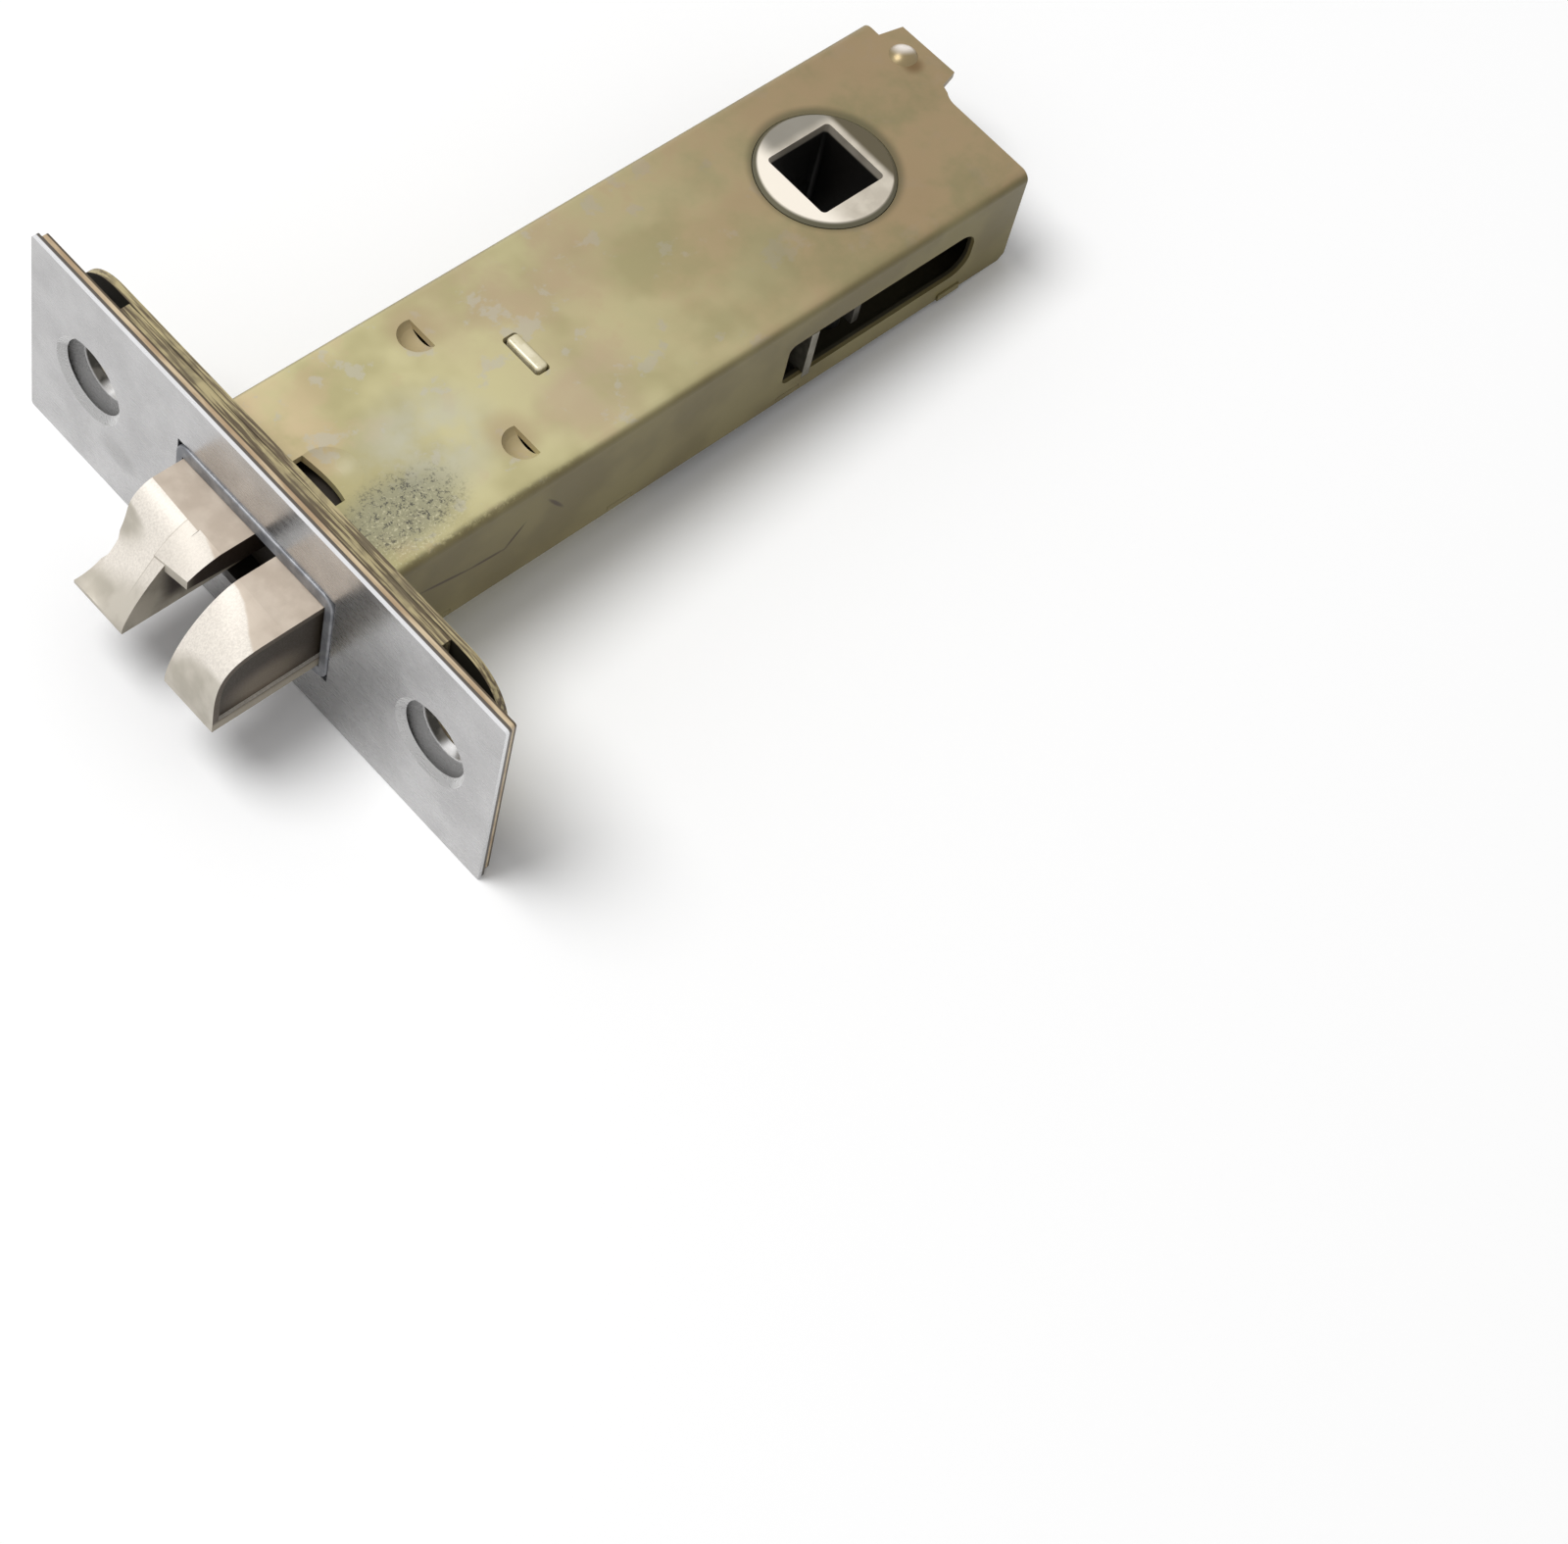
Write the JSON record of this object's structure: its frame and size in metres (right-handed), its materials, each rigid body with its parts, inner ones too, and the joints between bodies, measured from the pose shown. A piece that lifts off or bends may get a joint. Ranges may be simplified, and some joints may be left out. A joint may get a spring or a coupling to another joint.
{
  "type": "tubular door latch",
  "caption": "Tubular door latch with a forked bevelled bolt, layered screw-on front plate, folded sheet case and a hub with a square spindle hole.",
  "frame": {"origin": "centre of the front plate's outer face, midway between its two screw holes", "axes": "+X out of the door edge along the bolt, +Y along the front plate, +Z along the spindle, out of the case top"},
  "size_m": [0.1021, 0.066, 0.025],
  "materials": {
    "satin_face": "satin",
    "passivated_zinc": "satin",
    "blued_collar": "satin",
    "plated_casting": "satin",
    "hub_casting": "satin",
    "rivet_steel": "satin",
    "spring_wire": "drawn"
  },
  "bodies": {
    "case": {"front_plate": "satin_face", "inner_plate": "passivated_zinc", "spacer_plate": "passivated_zinc", "ear_plate": "passivated_zinc", "plate_rivets": "passivated_zinc", "bolt_collar": "blued_collar", "case_shell": "passivated_zinc", "case_floor": "passivated_zinc", "tab_rivet": "rivet_steel", "spring_plate": "rivet_steel", "seat_plate": "rivet_steel", "seat_washer": "rivet_steel", "bolt_washer": "rivet_steel", "bolt_spring": "spring_wire", "return_spring": "spring_wire"},
    "hub": {"hub": "hub_casting"},
    "retractor": {"retractor": "rivet_steel"},
    "bolt": {"bolt_head": "plated_casting", "bolt_shank": "rivet_steel", "shank_pin": "rivet_steel"}
  },
  "joints": [
    {"name": "hub_turn", "type": "hinge", "parent": "case", "child": "hub", "pos_m": [-0.07, 0, 0], "axis": [0, 0, 1], "range_deg": [0, 67.9]},
    {"name": "retractor_slide", "type": "slide", "parent": "case", "child": "retractor", "axis": [-1, 0, 0], "range_m": [0, 0.0117], "deforming": ["return_spring"]},
    {"name": "bolt_slide", "type": "slide", "parent": "case", "child": "bolt", "axis": [-1, 0, 0], "range_m": [0, 0.0116], "stiffness_N_per_m": 330, "springref_m": -0.006, "deforming": ["bolt_spring"]}
  ],
  "couplings": [
    {"joint": "retractor_slide", "follows": "bolt_slide", "ratio": 1},
    {"joint": "hub_turn", "follows": "bolt_slide", "rad_per_m": 102.01}
  ]
}
